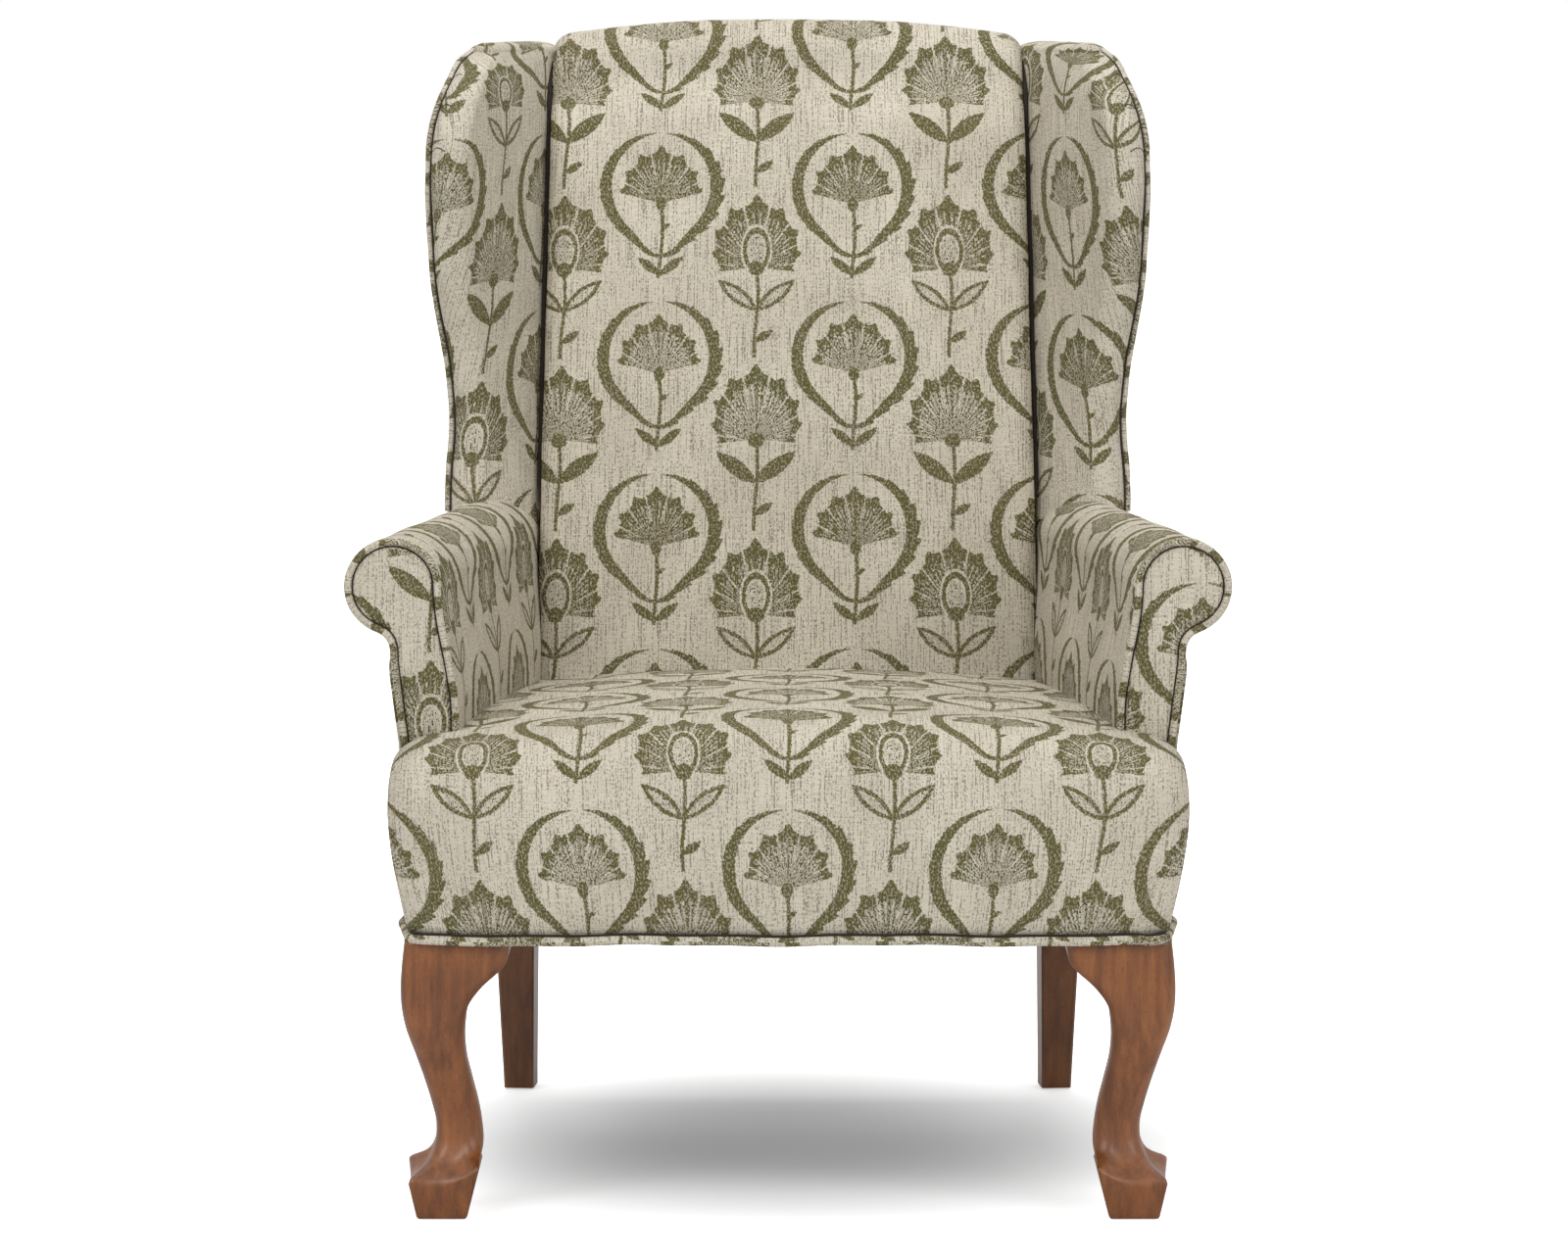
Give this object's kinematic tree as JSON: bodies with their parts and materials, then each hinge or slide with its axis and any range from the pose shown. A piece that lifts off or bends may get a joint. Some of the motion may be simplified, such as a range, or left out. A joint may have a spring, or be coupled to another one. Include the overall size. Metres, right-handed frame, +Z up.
{
  "type": "wingback armchair",
  "caption": "Wing chair with tight seat and back, rolled arms, flared wings, cabriole front legs and raked square rear legs, in floral fabric.",
  "frame": {"origin": "on the floor, below the middle of the chair's box", "axes": "+X to the right as seen from the front, the front faces -Y, +Z up; the chair is the same left and right of the plane X = 0"},
  "size_m": [0.77, 0.799, 1.0202],
  "materials": {
    "floral_fabric": "matte",
    "floral_welt": "matte",
    "stained_wood": "satin",
    "frame_wood": "matte",
    "foam": "matte",
    "webbing": "matte",
    "lining": "matte",
    "dust_cloth": "matte",
    "fixing_steel": "satin",
    "glide_nylon": "matte"
  },
  "bodies": {
    "root": {"arm_foam_left": "foam", "arm_foam_right": "foam", "arm_front_panel_left": "floral_fabric", "arm_front_panel_right": "floral_fabric", "arm_front_welt_left": "floral_welt", "arm_front_welt_right": "floral_welt", "arm_inside_cover_left": "floral_fabric", "arm_inside_cover_right": "floral_fabric", "arm_outside_cover_left": "floral_fabric", "arm_outside_cover_right": "floral_fabric", "arm_post_left": "frame_wood", "arm_post_right": "frame_wood", "arm_scroll_board_left": "frame_wood", "arm_scroll_board_right": "frame_wood", "arm_tack_rail_left": "frame_wood", "arm_tack_rail_right": "frame_wood", "arm_top_rail_left": "frame_wood", "arm_top_rail_right": "frame_wood", "back_foam": "foam", "back_insulator": "lining", "back_lower_rail": "frame_wood", "back_post_left": "frame_wood", "back_post_right": "frame_wood", "back_top_rail": "frame_wood", "back_webbing": "webbing", "base_welt": "floral_welt", "corner_block_screws": "fixing_steel", "corner_blocks": "frame_wood", "dust_cover": "dust_cloth", "frame_dowels": "frame_wood", "front_leg_left": "stained_wood", "front_leg_right": "stained_wood", "inside_back_cover": "floral_fabric", "leg_glides": "glide_nylon", "leg_hanger_bolts": "fixing_steel", "leg_inserts": "fixing_steel", "leg_nuts": "fixing_steel", "outside_back_cover": "floral_fabric", "rear_leg_left": "stained_wood", "rear_leg_right": "stained_wood", "seat_back_rail": "frame_wood", "seat_cover": "floral_fabric", "seat_foam": "foam", "seat_front_rail": "frame_wood", "seat_insulator": "lining", "seat_side_rail_left": "frame_wood", "seat_side_rail_right": "frame_wood", "seat_springs": "fixing_steel", "spring_clips": "fixing_steel", "wing_board_left": "frame_wood", "wing_board_right": "frame_wood", "wing_foam_left": "foam", "wing_foam_right": "foam", "wing_inside_cover_left": "floral_fabric", "wing_inside_cover_right": "floral_fabric", "wing_outside_cover_left": "floral_fabric", "wing_outside_cover_right": "floral_fabric", "wing_welt_left": "floral_welt", "wing_welt_right": "floral_welt"}
  },
  "joints": []
}
